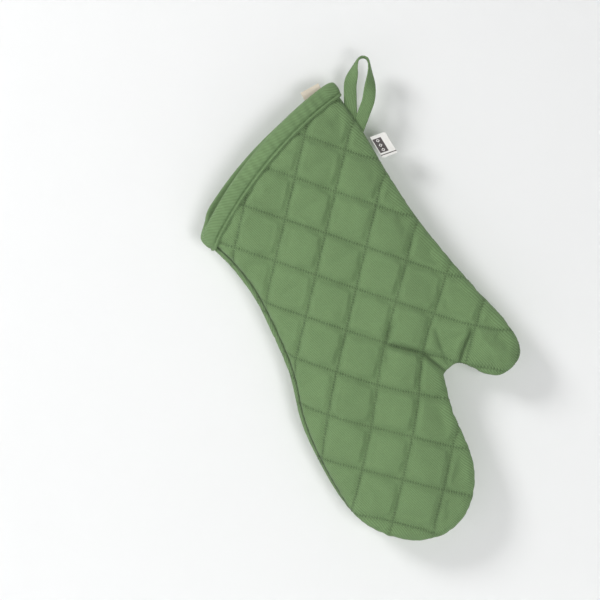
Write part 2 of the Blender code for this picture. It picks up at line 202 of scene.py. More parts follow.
LOOP_PATH = [
    (-9.2, -34), (-9.4, -20), (-7, -10), (-4.9, -3.4), (-2.9, -0.3), (0, 0.8), (2.9, -0.3), (4.4, -3.4),
    (5.2, -10), (5.3, -20), (3.8, -32), (-0.6, -44),
]  # fmt: skip
LOOP_WIDTH = 8.6 * MM
LOOP_THICKNESS = 1.7 * MM
LOOP_TOP = 0.45
LOOP_ARCH = 2.0 * MM
LOOP_FLAT = 12.0 * MM
LOOP_ROOT = 11.0 * MM
LOOP_INTO_SEAM = 2.5 * MM
LOOP_SEAM = (11.0 * MM, 42.0 * MM)
LOOP_STITCHES_AT = 0.72

SIDE_LABEL = np.array([[48.5, 145.0], [66.5, 145.8], [68.5, 157.5], [50.5, 156.7]]) * MM
LABEL_THICKNESS = 0.7 * MM
LABEL_STEPS = (16, 12)
LABEL_PANEL = (2.6 * MM, 14.2 * MM, 0.6 * MM, 7.0 * MM, (15.6 * MM, 16.3 * MM))
CARE_LABEL = np.array([[32.0, 116.0], [32.0, 131.0], [-5.0, 131.0], [-5.0, 116.0]]) * MM
CARE_THICKNESS = 0.5 * MM

GREEN = (0.156, 0.2512, 0.1115)
WADDING = (0.86, 0.85, 0.82)
WHITE = (0.80, 0.79, 0.76)
GREY = (0.085, 0.075, 0.075)
BEIGE = (0.74, 0.66, 0.55)
PAPER = (0.855, 0.86, 0.86)

# The weaves: ribs and yarns lean by these shares of across and along.
TWILL_RIB = 1.3 * MM
TWILL_WANDER = 0.35
RIB_LEAN = (0.96, -0.28)
YARN_LEAN = (-0.34, -1.2)
FADED_SHARE = 0.38
# How far the painted shade reaches from a row of stitches, and from the seam.
VALLEY_WIDTH = 1.0 * MM
SEAM_LINE = 0.8 * MM
LABEL_RIB = 0.45 * MM

# Roughness, sheen, noise, darkest and lightest shade, and the depth and strength of the relief.
THREAD_LOOK = (0.6, 0.1, (900.0,), (0.7, 1.3), (0.2 * MM, 0.4))
WADDING_LOOK = (0.95, 0.3, (260.0, 5.0), (0.85, 1.1), (0.6 * MM, 0.6))

FRAME_MIDDLE = (-46.6 * MM, -179.0 * MM)
CAMERA_FAR = 1.48
LENS = 120.0
SENSOR = 36.0
BACKDROP = 24.0 * MM
FLOOR_BELOW = 60.0 * MM
STAGE_SIZE = 3.0
SKY_STRENGTH = 0.225
LAMPS = [
    ("key", (-1.25, -1.0, 0.75), 0.6, 19.3),
    ("fill", (0.5, -1.6, -0.45), 0.7, 10.2),
    ("behind", (0.35, 1.6, 0.3), 1.0, 12.0),
]


def world(spots, depth):
    """Points of the flat pattern, at that depth behind the mitt's middle, in the row's frame."""
    spots = np.asarray(spots, float)
    flat = PATTERN_START + spots[..., :1] * DOWN + spots[..., 1:2] * ACROSS
    return flat + np.asarray(depth, float)[..., None] * BACK


def through(points, step):
    """A smooth curve through the points, with a point about every step along it."""
    spots = np.array(points, float) * MM
    ends = np.vstack([2 * spots[0] - spots[1], spots, 2 * spots[-1] - spots[-2]])
    path = []
    for before, a, b, after in zip(ends, ends[1:], ends[2:], ends[3:]):
        count = max(1, round(float(np.linalg.norm(b - a)) / step))
        for t in np.arange(count) / count:
            bend = (2 * before - 5 * a + 4 * b - after) * t**2 + (3 * a - before - 3 * b + after) * t**3
            path.append(0.5 * (2 * a + (b - before) * t + bend))
    return np.array(path + [spots[-1]])


FINGERS = through(FINGER_EDGE, SEAM_STEP)
THUMB = through(THUMB_EDGE, SEAM_STEP)
SEAM = np.vstack([FINGERS, THUMB[1:]])
CUFF_LEFT, CUFF_RIGHT = FINGERS[0], THUMB[-1]
CUFF_RUN = CUFF_RIGHT - CUFF_LEFT
CUFF_LENGTH = float(np.linalg.norm(CUFF_RUN))
CUFF_IN = np.array([CUFF_RUN[1], -CUFF_RUN[0]]) / CUFF_LENGTH


def on_seam(spots):
    """(distance to the seam line, nearest point on it, the way into the mitt) for each point."""
    spots = np.atleast_2d(spots)
    a, run = SEAM[:-1], np.diff(SEAM, axis=0)
    from_a = spots[:, None, :] - a[None]
    t = np.clip((from_a * run).sum(-1) / (run * run).sum(-1), 0, 1)
    foot = a[None] + run[None] * t[..., None]
    far = np.linalg.norm(spots[:, None, :] - foot, axis=-1)
    best = far.argmin(1)
    rows = np.arange(len(spots))
    normal = np.stack([-run[:, 1], run[:, 0]], -1) / np.linalg.norm(run, axis=1)[:, None]
    distance, foot = far[rows, best], foot[rows, best]
    inward = spots - foot
    length = np.linalg.norm(inward, axis=1)
    use = length > 0.3 * MM
    inward = np.where(use[:, None], inward / np.maximum(length, 1e-9)[:, None], normal[best])
    return distance, foot, inward


def cuff_place(spots):
    """(how far inside the bowed edge of the cuff, how far across it from 0 to 1) for each point."""
    from_left = np.asarray(spots) - CUFF_LEFT
    t = from_left @ CUFF_RUN / CUFF_LENGTH**2
    return from_left @ CUFF_IN + 4 * CUFF_BOW * t * (1 - t), t


def quilt_drift(spots):
    """How far the rows of stitches have wandered off their straight lines."""
    into_fingers = smooth((spots[..., 0] - 190 * MM) / (60 * MM))
    right = PATTERN_START[0] + spots[..., 0] * DOWN[0] + spots[..., 1] * ACROSS[0]
    lower = QUILT_TURN * (QUILT_TURN_FROM - right) * into_fingers
    turned = np.stack([-lower * DOWN[2], QUILT_DRIFT * into_fingers - lower * ACROSS[2]], -1)
    return turned + gathered(spots)[..., None] * GATHER


def gathered(spots):
    """How far each point is drawn in with the gathers by the thumb, from 0 to 1."""
    return bell(np.linalg.norm(spots - GATHER_AT, axis=-1), GATHER_REACH)


def quilt_place(spots):
    """The two counts of cells that say where a point is between the rows of stitches."""
    straight = np.asarray(spots) - quilt_drift(np.asarray(spots))
    down, over = np.moveaxis((straight - QUILT_NODE) / QUILT_HALF / 2, -1, 0)
    return np.stack([down + over, down - over], -1)


def quilt_spot(cells):
    """The point of the pattern that those counts of cells name."""
    down, over = cells[..., 0] + cells[..., 1], cells[..., 0] - cells[..., 1]
    straight = QUILT_NODE + np.stack([down, over], -1) * QUILT_HALF
    spots = straight
    for _ in range(12):
        spots = straight + quilt_drift(spots)
    return spots


def smooth(t):
    t = np.clip(t, 0, 1)
    return t * t * (3 - 2 * t)


def bell(far, width, sharpness=1):
    """1 at no distance, and falling off smoothly over the width."""
    return np.exp(-((far / width) ** 2) * sharpness)


def past_thumb_fold(spots):
    """How far each point is beyond the line where the thumb folds."""
    return (np.asarray(spots) - THUMB_FOLD[0]) @ FOLD_OUT


def in_thumb(spots):
    spots = np.asarray(spots)
    return (past_thumb_fold(spots) > -SPLIT_BEFORE_FOLD) & (spots[..., 1] > CROTCH[1] - 0.1 * MM)


# ------------------------------------------------------------------ the flat mesh


def inside(spots, loop):
    """Whether each point is inside a closed loop."""
    a, b = loop, np.roll(loop, -1, axis=0)
    x, y = spots[:, None, 0], spots[:, None, 1]
    crosses = (a[:, 1] > y) != (b[:, 1] > y)
    with np.errstate(divide="ignore", invalid="ignore"):
        at = a[:, 0] + (y - a[:, 1]) * (b[:, 0] - a[:, 0]) / (b[:, 1] - a[:, 1])
    return (crosses & (x < at)).sum(1) % 2 == 1


def cuff_edge(step):
    """Points along the bowed edge of the cuff, from its right end to its left, without its ends."""
    t = 1 - np.arange(1, round(CUFF_LENGTH / step)) / round(CUFF_LENGTH / step)
    return CUFF_LEFT + t[:, None] * CUFF_RUN - CUFF_IN * (4 * CUFF_BOW * t * (1 - t))[:, None]


def split_line(step):
    """The line that parts the thumb's piece from the hand's, from the outer seam to the crotch."""
    start = THUMB_FOLD[0] - FOLD_OUT * SPLIT_BEFORE_FOLD
    side = (THUMB - start) @ FOLD_OUT
    outer = THUMB[np.nonzero(np.diff(np.sign(side)))[0][-1]]
    count = round(float(np.linalg.norm(CROTCH - outer)) / step)
    return outer + (CROTCH - outer) * (np.arange(1, count) / count)[:, None]


def flat_mesh(steps):
    """(points, faces) of one half laid flat, on a lattice that follows the rows of stitches."""
    step = QUILT_SIDE / steps
    seam = SEAM[:: max(1, round(step / SEAM_STEP))]
    seam = seam if np.allclose(seam[-1], SEAM[-1]) else np.vstack([seam, SEAM[-1]])
    outline = np.vstack([seam, cuff_edge(step)])
    parting = split_line(step)
    count = np.arange(-QUILT_ROWS * steps, QUILT_ROWS * steps)
    grid = np.stack(np.meshgrid(count, count, indexing="ij"), -1)
    lattice = quilt_spot(grid.reshape(-1, 2) / steps)
    low, high = outline.min(0), outline.max(0)
    lattice = lattice[((lattice > low) & (lattice < high)).all(1)]
    lattice = lattice[inside(lattice, outline)]
    for line in (outline, parting):
        gap = np.array([np.linalg.norm(line - p, axis=1).min() for p in lattice])
        lattice = lattice[gap > 0.62 * step]
    spots = np.vstack([outline, parting, lattice])
    n = len(outline)
    edges = [(k, (k + 1) % n) for k in range(n)]
    edges += [(n + k, n + k + 1) for k in range(len(parting) - 1)]
    cut = delaunay_2d_cdt([Vector(p) for p in spots], edges, [list(range(n))], 0, 1e-7)
    faces = [face for face, held in zip(cut[2], cut[5]) if held]
    bm = bmesh.new()
    verts = [bm.verts.new((p.x, p.y, 0)) for p in cut[0]]
    for face in faces:
        bm.faces.new([verts[k] for k in face])
    bmesh.ops.delete(bm, geom=[v for v in bm.verts if not v.link_faces], context="VERTS")
    bmesh.ops.join_triangles(
        bm, faces=bm.faces[:], angle_face_threshold=math.pi, angle_shape_threshold=math.radians(35)
    )
    bmesh.ops.recalc_face_normals(bm, faces=bm.faces[:])
    bm.verts.index_update()
    spots = np.array([v.co[:2] for v in bm.verts])
    faces = [[v.index for v in face.verts] for face in bm.faces]
    if bm.faces[0].normal.z < 0:
        faces = [face[::-1] for face in faces]
    bm.free()
    return spots, faces


OUTLINE = np.vstack([SEAM, cuff_edge(SEAM_STEP)])


# ------------------------------------------------------------------ from flat to round


def seam_turn(foot):
    """How far round the rim, towards the front, the seam lies: most along the little finger's edge."""
    along, across = foot[:, 0], foot[:, 1]
    little = smooth((70 * MM - across) / (40 * MM)) * smooth((300 * MM - along) / (30 * MM))
    shown = np.interp(along, *(np.array(values) * MM for values in BACK_SHOWN))
    return np.arccos(1 - shown / RIM) * little - math.radians(8) * (1 - little)


def mouth_press(inside_cuff, start, reach):
    """How much of their thickness the sewn layers keep, from the mouth's edge inwards."""
    return BINDING_PRESS + (1 - BINDING_PRESS) * smooth((inside_cuff - start) / reach)


def half_height(spots, distance):
    """(half the rim's height, half the hollow's height) of each point."""
    inside_cuff, _ = cuff_place(spots)
    hollow = HOLLOW * np.sin(np.pi / 2 * np.clip(distance / HOLLOW_REACH, 0, 1))
    from_mouth = 1 - smooth(inside_cuff / (60 * MM))
    open_mouth = MOUTH_DEEPER * smooth((distance - 6 * MM) / (40 * MM)) * from_mouth
    return RIM_HALF * mouth_press(inside_cuff, *OUTER_PRESS), hollow + open_mouth


def crease(spots):
    """(how far the creases pull each point in, how close it is to one from 0 to 1: the mask of the painted
    shade in the creases).
    """
    depth, near = np.zeros(len(spots)), np.zeros(len(spots))
    for start, end, most in CREASES:
        a, run = np.array(start) * MM, (np.array(end) - np.array(start)) * MM
        t = np.clip((spots - a) @ run / (run @ run), 0, 1)
        apart = np.linalg.norm(spots - a - t[:, None] * run, axis=1)
        depth = np.maximum(depth, most * MM * bell(apart, CREASE_WIDTH))
        fade = 1 - CREASE_FADE * (2 * t - 1) ** 4
        near = np.maximum(near, bell(apart, CREASE_LINE) * fade * min(1.0, most / CREASE_FULL))
    return depth, near


def off_row(cells):
    """How far from the nearest row of stitches a place is, given its counts of cells."""
    return np.abs(cells - np.round(cells)).min(-1) * QUILT_SIDE


def by_a_row(spots):
    """How near each point is to a row of stitches, from 0 to 1; none show under the binding."""
    past_binding = smooth((cuff_place(spots)[0] - 9 * MM) / (6 * MM))
    return bell(off_row(quilt_place(spots)), GROOVE_WIDTH, 2) * past_binding


def groove(spots):
    """How far the stitches and the creases pull each point in."""
    near = bell(np.linalg.norm(spots - CROTCH, axis=-1), CREASE_REACH)
    return GROOVE * (1 + CREASE_DEEPER * near) * by_a_row(spots) + crease(spots)[0]


def slack(spots):
    """The slow rise and fall of cloth that hangs loosely."""
    along, across = spots[:, 0] / WAVE_LENGTH, spots[:, 1] / WAVE_LENGTH
    folds = np.sin(2 * math.pi * (0.35 * along + across) + 0.8)
    return WAVE * (folds + 0.7 * np.sin(2 * math.pi * (0.9 * along - 0.5 * across)))


def gaped(spots, moved, side):
    """The back half stands a little further out at the mouth, most towards the little finger."""
    if side < 0:
        return moved
    inside_cuff, t = cuff_place(spots)
    gape = smooth(t / 0.14) * (1 - smooth(t / 1.05)) * (1 - smooth(inside_cuff / (45 * MM)))
    return moved - CUFF_IN * (MOUTH_GAPE * gape)[:, None]


def rounded(spots, side, seam_pull=SEAM_PULL):
    """The pattern's points on the mitt as it hangs, on the front (-1) or the back (+1)."""
    distance, foot, inward = on_seam(spots)
    rim, hollow = half_height(spots, distance)
    turn = seam_turn(foot) * (-1 if side > 0 else 1)
    t = np.clip(distance / RIM, 0, 1)
    angle = turn + (math.pi / 2 - turn) * t
    pull = seam_pull * bell(distance, SEAM_PULL_REACH)
    way_in = RIM * (1 - np.cos(angle)) + pull * np.cos(angle)
    moved = np.where((distance < RIM)[:, None], foot + inward * way_in[:, None], spots)
    height = (rim - pull) * np.sin(angle) + hollow
    return world(gaped(spots, moved, side), side * height)


def inner_side(spots, side, extra=0.0):
    """The same points on the inner face of the half, which stops short of the seam."""
    distance, foot, inward = on_seam(spots)
    rim, hollow = half_height(spots, distance)
    inside_cuff, _ = cuff_place(spots)
    thickness = STACK * mouth_press(inside_cuff, *INNER_PRESS) + extra + crease(spots)[0]
    short = LINING_FROM_SEAM + distance * (1 - LINING_FROM_SEAM / LINING_REACH)
    moved = np.where((distance < LINING_REACH)[:, None], foot + inward * short[:, None], spots)
    height = np.maximum(rim + hollow - thickness, 0.6 * MM)
    return world(gaped(spots, moved, side), side * height)


# ------------------------------------------------------------------ surfaces


class Nodes:
    """A tree of nodes, with short calls that add a node, feed it and give its result."""

    def __init__(self, tree):
        self.tree = tree

    def feed(self, socket, value):
        """Links a socket to a result, or sets it to a number, a colour or a name."""
        if hasattr(value, "is_linked"):
            self.tree.links.new(value, socket)
        else:
            socket.default_value = (*value, 1.0) if socket.type == "RGBA" else value

    def add(self, kind, inputs=None, **settings):
        node = self.tree.nodes.new(kind)
        for name, value in settings.items():
            setattr(node, name, value)
        for socket, value in (inputs or {}).items():
            self.feed(node.inputs[socket], value)
        return node

    def math(self, operation, *values):
        return self.add("ShaderNodeMath", dict(enumerate(values)), operation=operation).outputs[0]

    def times(self, *values):
        return self.math("MULTIPLY", *values)

    def blend(self, first, weight, second):
        """The first value times the weight, and the second times what is left."""
        return self.math("MULTIPLY_ADD", first, weight, self.times(second, 1 - weight))

    def half_wave(self, operation, turns):
        """A sine or cosine of that many radians, brought between 0 and 1."""
        return self.math("MULTIPLY_ADD", self.math(operation, turns), 0.5, 0.5)

    def noise(self, place, scale, detail=2.0):
        return self.add("ShaderNodeTexNoise", {"Vector": place, "Scale": scale, "Detail": detail}).outputs[0]

    def parts(self, vector):
        return self.add("ShaderNodeSeparateXYZ", {0: vector}).outputs

    def uv(self, name):
        return self.add("ShaderNodeUVMap", uv_map=name).outputs[0]

    def place(self):
        return self.add("ShaderNodeTexCoord").outputs["Object"]

    def mix(self, amount, dark, light):
        return self.add("ShaderNodeMix", data_type="RGBA", inputs={0: amount, 6: dark, 7: light}).outputs[2]

    def use(self, group, **inputs):
        """The results of a node group, given its inputs by name."""
        node = self.add("ShaderNodeGroup", node_tree=group)
        for label, value in inputs.items():
            self.feed(node.inputs[label.replace("_", " ")], value)
        return node.outputs


def node_group(name, inputs, outputs, kind="ShaderNodeTree"):
    """An empty node group with named sockets: (its nodes, what it is given, what it gives out)."""
    group = bpy.data.node_groups.new(name, kind)
    for label, socket_type, value in inputs:
        socket = group.interface.new_socket(label, in_out="INPUT", socket_type="NodeSocket" + socket_type)
        if value is not None:
            socket.default_value = value
    for label, socket_type in outputs:
        group.interface.new_socket(label, in_out="OUTPUT", socket_type="NodeSocket" + socket_type)
    nodes = Nodes(group)
    return nodes, nodes.add("NodeGroupInput").outputs, nodes.add("NodeGroupOutput").inputs


def twill_group():
    """Slanting ribs of a twill, broken by its crossing yarns: a height, and a tint of yarn flecks and
    painted rib shade, both from 0 to 1.
    """
    nodes, given, out = node_group(
        "twill_weave",
        [("Cloth", "Vector", None), ("Rib width", "Float", TWILL_RIB)],
        [("Height", "Float"), ("Tint", "Float")],
    )
    across, along, _ = nodes.parts(given["Cloth"])
    uneven = nodes.times(nodes.noise(given["Cloth"], 160.0), TWILL_WANDER)

    def wave(lean):
        total = nodes.math("ADD", nodes.times(across, lean[0]), nodes.times(along, lean[1]))
        turns = nodes.math("ADD", nodes.math("DIVIDE", total, given["Rib width"]), uneven)
        return nodes.half_wave("SINE", nodes.times(turns, 2 * math.pi))

    height = nodes.blend(wave(YARN_LEAN), 0.3, wave(RIB_LEAN))
    nodes.feed(out["Height"], height)
    # The tint mixes random yarn flecks with painted shade: darker in the rib troughs, lighter on their tops.
    nodes.feed(out["Tint"], nodes.blend(nodes.noise(given["Cloth"], 900.0, 3.0), 0.45, height))
    return nodes.tree


def rows_group():
    """How near a point is to a row of stitches (0 to 1), and the small puckers between them."""
    nodes, given, out = node_group(
        "stitched_rows",
        [("Cells", "Vector", None), ("Cell side", "Float", QUILT_SIDE), ("Pitch", "Float", STITCH_PITCH)],
        [("Valley", "Float"), ("Pucker", "Float")],
    )
    down, over, _ = nodes.parts(given["Cells"])
    valleys, puckers = [], []
    for own, other in ((down, over), (over, down)):
        gap = nodes.times(nodes.math("PINGPONG", own, 0.5), given["Cell side"])
        valley = nodes.math("EXPONENT", nodes.times(gap, -1 / VALLEY_WIDTH))
        pitches = nodes.math("DIVIDE", nodes.times(other, given["Cell side"]), given["Pitch"])
        ripple = nodes.half_wave("COSINE", nodes.times(pitches, 2 * math.pi))
        valleys.append(valley)
        puckers.append(nodes.times(ripple, valley))
    nodes.feed(out["Valley"], nodes.math("MAXIMUM", *valleys))
    nodes.feed(out["Pucker"], nodes.math("MAXIMUM", *puckers))
    return nodes.tree


def wear_group():
    """Soft, uneven fading of dyed cotton, from 0 to 1."""
    nodes, given, out = node_group("cloth_fading", [("Place", "Vector", None)], [("Fade", "Float")])
    broad, fine = nodes.noise(given["Place"], 22.0, 4.0), nodes.noise(given["Place"], 140.0)
    nodes.feed(out["Fade"], nodes.blend(broad, 0.65, fine))
    return nodes.tree


def new_material(name, roughness, sheen=0.0):
    """(material, its nodes, its shader)."""
    made = bpy.data.materials.new(name)
    made.use_nodes = True
    shader = made.node_tree.nodes["Principled BSDF"]
    shader.inputs["Roughness"].default_value = roughness
    shader.inputs["Sheen Weight"].default_value = sheen
    shader.inputs["Sheen Roughness"].default_value = 0.5
    shader.inputs["Specular IOR Level"].default_value = 0.25
    return made, Nodes(made.node_tree), shader


def finish_surface(nodes, shader, colour, *layers):
    """Gives the shader its colour, and bumps one after the other, each from (height, distance, strength)."""
    nodes.feed(shader.inputs["Base Color"], colour)
    last = {}
    for height, distance, strength in layers:
        given = {"Height": height, "Distance": distance, "Strength": strength}
        last = {"Normal": nodes.add("ShaderNodeBump", {**given, **last}).outputs[0]}
    nodes.feed(shader.inputs["Normal"], last["Normal"])


def shade(colour, by):
    return tuple(c * by for c in colour)


def twill_material(name, colour, groups, quilted=False, ribs=TWILL_RIB):
    """Cotton twill; a quilted one has painted shade along its stitches, in its creases and along its seam.
    """
    twill, rows, fading = groups
    made, nodes, shader = new_material(name, 0.88, 0.08)
    cloth = nodes.uv("Pattern")
    weave = nodes.use(twill, Cloth=cloth, Rib_width=ribs)
    fade = nodes.use(fading, Place=cloth)["Fade"]
    # Painted shade and light on the ribs, mixed with the flecks' own tone.
    woven = nodes.mix(weave["Tint"], shade(colour, 0.25), shade(colour, 1.8))
    faded = nodes.mix(fade, shade(colour, 0.62), shade(colour, 1.38))
    last = nodes.mix(FADED_SHARE, woven, faded)
    layers = [(weave["Height"], 0.35 * MM, 0.5)]
    if quilted:
        stitched = nodes.use(rows, Cells=nodes.uv("Quilt"))
        # Painted shade: darker in the valleys of the rows of stitches, and darker still in a ripple at the
        # stitch pitch along them.
        dark = nodes.math("MULTIPLY_ADD", stitched["Pucker"], 0.5, nodes.times(stitched["Valley"], 0.2))
        last = nodes.mix(dark, last, shade(colour, 0.4))
        # Painted shade along the seam where the two halves meet, and in the creases by the thumb.
        from_seam, creased, _ = nodes.parts(nodes.uv("Edge"))
        seam = nodes.math("EXPONENT", nodes.times(from_seam, -1 / SEAM_LINE))
        seam = nodes.math("MAXIMUM", seam, nodes.times(creased, 0.75))
        last = nodes.mix(seam, last, shade(colour, 0.2))
        layers.append((stitched["Pucker"], 0.6 * MM, 0.9))
    finish_surface(nodes, shader, last, *layers)
    return made


def ribbed_material(name, colour, fading, pitch):
    """Cloth whose fine ribs lean across a narrow band: U of its map is metres along the band."""
    made, nodes, shader = new_material(name, 0.85, 0.12)
    cloth = nodes.uv("Pattern")
    along, across, _ = nodes.parts(cloth)
    turns = nodes.times(along, 2 * math.pi / pitch)
    rib = nodes.half_wave("SINE", nodes.math("MULTIPLY_ADD", across, 2 * math.pi / (1.4 * pitch), turns))
    # The colour: painted shade, darker in the rib troughs and lighter on their tops, mixed with the cloth's
    # real fading.
    amount = nodes.blend(rib, 0.55, nodes.use(fading, Place=cloth)["Fade"])
    colour = nodes.mix(amount, shade(colour, 0.5), shade(colour, 1.5))
    finish_surface(nodes, shader, colour, (rib, 0.3 * MM, 0.45))
    return made


def fluffy_material(name, colour, roughness, sheen, noise, range_of_tints, relief):
    """Sewing thread or wadding: a noise in its colour and its relief."""
    made, nodes, shader = new_material(name, roughness, sheen)
    fluff = nodes.noise(nodes.place(), *noise)
    dark, light = (shade(colour, tint) for tint in range_of_tints)
    finish_surface(nodes, shader, nodes.mix(fluff, dark, light), (fluff, *relief))
    return made


def between(nodes, value, low, high):
    """1 where the value lies between the two ends."""
    return nodes.times(nodes.math("GREATER_THAN", value, low), nodes.math("LESS_THAN", value, high))


def label_material(name, ground, panel=None):
    """A woven label: a plain ground, and on it a dark panel with a row of small diamonds and one line."""
    made, nodes, shader = new_material(name, 0.6, 0.05)
    u, v, _ = nodes.parts(nodes.uv("Pattern"))
    rib = nodes.half_wave("SINE", nodes.times(u, 2 * math.pi / LABEL_RIB))
    # Painted shade: the ground a little darker in the rib troughs.
    last = nodes.mix(rib, shade(ground, 0.92), ground)
    if panel:
        low_u, high_u, low_v, high_v, line = panel
        size = (high_u - low_u) / 3
        over = nodes.math("PINGPONG", nodes.math("SUBTRACT", u, low_u), size / 2)
        out = nodes.math("ABSOLUTE", nodes.math("SUBTRACT", v, (low_v + high_v) / 2))
        reach = nodes.math("ADD", nodes.math("SUBTRACT", size / 2, over), out)
        shown = nodes.math("SUBTRACT", 1.0, between(nodes, reach, size * 0.2, size * 0.36))
        within = nodes.times(between(nodes, u, low_u, high_u), between(nodes, v, low_v, high_v))
        stripe = between(nodes, u, *line)
        last = nodes.mix(nodes.math("MAXIMUM", nodes.times(within, shown), stripe), last, GREY)
    finish_surface(nodes, shader, last, (rib, 0.1 * MM, 0.4))
    return made


def make_materials():
    groups = twill_group(), rows_group(), wear_group()
    return {
        "cover": twill_material("quilted_green_twill", GREEN, groups, quilted=True),
        "lining": twill_material("green_lining_cloth", shade(GREEN, 0.8), groups, ribs=1.0 * MM),
        "binding": ribbed_material("green_bias_binding", shade(GREEN, 1.04), groups[2], 1.2 * MM),
        "tape": twill_material("green_loop_tape", shade(GREEN, 0.98), groups, ribs=1.1 * MM),
        "thread": fluffy_material("green_sewing_thread", shade(GREEN, 0.9), *THREAD_LOOK),
        "batting": fluffy_material("white_wadding", WADDING, *WADDING_LOOK),
        "label": label_material("white_woven_label", WHITE, LABEL_PANEL),
        "care": label_material("beige_satin_label", BEIGE),
    }


# ------------------------------------------------------------------ making meshes


def read(elements, attribute, width=1, kind=np.float32):
    """One attribute of a mesh's points, corners or faces, as an array."""
    values = np.empty(len(elements) * width, kind)
    elements.foreach_get(attribute, values)
    return values.reshape(-1, width) if width > 1 else values


def points_of(mesh):
    return read(mesh.vertices, "co", 3).astype(float)


def normals_of(mesh):
    return read(mesh.vertex_normals, "vector", 3).astype(float)


def corner_points(mesh):
    """Which point each corner of the faces is at."""
    return read(mesh.loops, "vertex_index", kind=np.int32)


def add_map(mesh, name, values):
    """A new UV map, from one pair of values for each corner."""
    mesh.uv_layers.new(name=name).data.foreach_set("uv", np.array(values, np.float32).ravel())


def uv_at_points(mesh, name):
    """One value of a UV map for each point, for a map with no cuts in it."""
    found = np.zeros((len(mesh.vertices), 2))
    found[corner_points(mesh)] = read(mesh.uv_layers[name].data, "uv", 2)
    return found


def faces_of(mesh):
    return [list(face.vertices) for face in mesh.polygons]


def point_normals(points, faces):
    side = bpy.data.meshes.new("side")
    side.from_pydata(points.tolist(), [], faces)
    normals = normals_of(side)
    bpy.data.meshes.remove(side)
    return normals


def only_used(faces):
    """(the points that the faces use, the faces renumbered to them)."""
    used = sorted({k for face in faces for k in face})
    renumber = {k: n for n, k in enumerate(used)}
    return used, [[renumber[k] for k in face] for face in faces]


def closed_skin(name, points, normals, faces, corners, thickness, surface):
    """A closed skin: the faces, a copy of them set in by the thickness, and a wall round their edge.

    corners holds each UV map's values, one list of values for each face."""
    used, outer = only_used(faces)
    count = len(used)
    inner = [[k + count for k in face[::-1]] for face in outer]
    edges = {}
    for f, face in enumerate(outer):
        for n, a in enumerate(face):
            edges[(a, face[(n + 1) % len(face)])] = (f, n, (n + 1) % len(face))
    rim = [(a, b, at) for (a, b), at in edges.items() if (b, a) not in edges]
    wall = [[b, a, a + count, b + count] for a, b, _ in rim]
    spots, ways = points[used], normals[used]
    depth = thickness[used][:, None] if isinstance(thickness, np.ndarray) else thickness
    mesh = bpy.data.meshes.new(name)
    mesh.from_pydata(np.vstack([spots, spots - ways * depth]).tolist(), [], outer + inner + wall)
    for map_name, own in corners.items():
        values = [v for face in own for v in face]
        values += [v for face in own for v in face[::-1]]
        for _, _, (f, a, b) in rim:
            values += [own[f][b], own[f][a], own[f][a], own[f][b]]
        add_map(mesh, map_name, values)
    mesh.shade_smooth()
    mesh.normals_split_custom_set_from_vertices(np.vstack([ways, -ways]).tolist())
    mesh.materials.append(surface)
    return placed(name, mesh)


def placed(name, mesh):
    made = bpy.data.objects.new(name, mesh)
    bpy.context.scene.collection.objects.link(made)
    return made


def corner_maps(faces, **values):
    return {name: [[own[k] for k in face] for face in faces] for name, own in values.items()}


def grid_faces(rows, columns, round_rows=False):
    """Quads of a grid whose points run along its rows; round_rows joins each row's end to its start."""
    last = columns if round_rows else columns - 1
    faces = []
    for r in range(rows - 1):
        for c in range(last):
            d = (c + 1) % columns
            faces.append([r * columns + c, r * columns + d, (r + 1) * columns + d, (r + 1) * columns + c])
    return faces


# ------------------------------------------------------------------ the quilted covers


def flat_half(steps):
    """(points, faces, whether each face is the thumb's) of a half laid flat."""
    spots, faces = flat_mesh(steps)
    return spots, faces, in_thumb(np.array([spots[face].mean(0) for face in faces]))


def faces_in(part, faces, thumbs):
    return [face for face, thumb in zip(faces, thumbs) if thumb == (part == "thumb")]


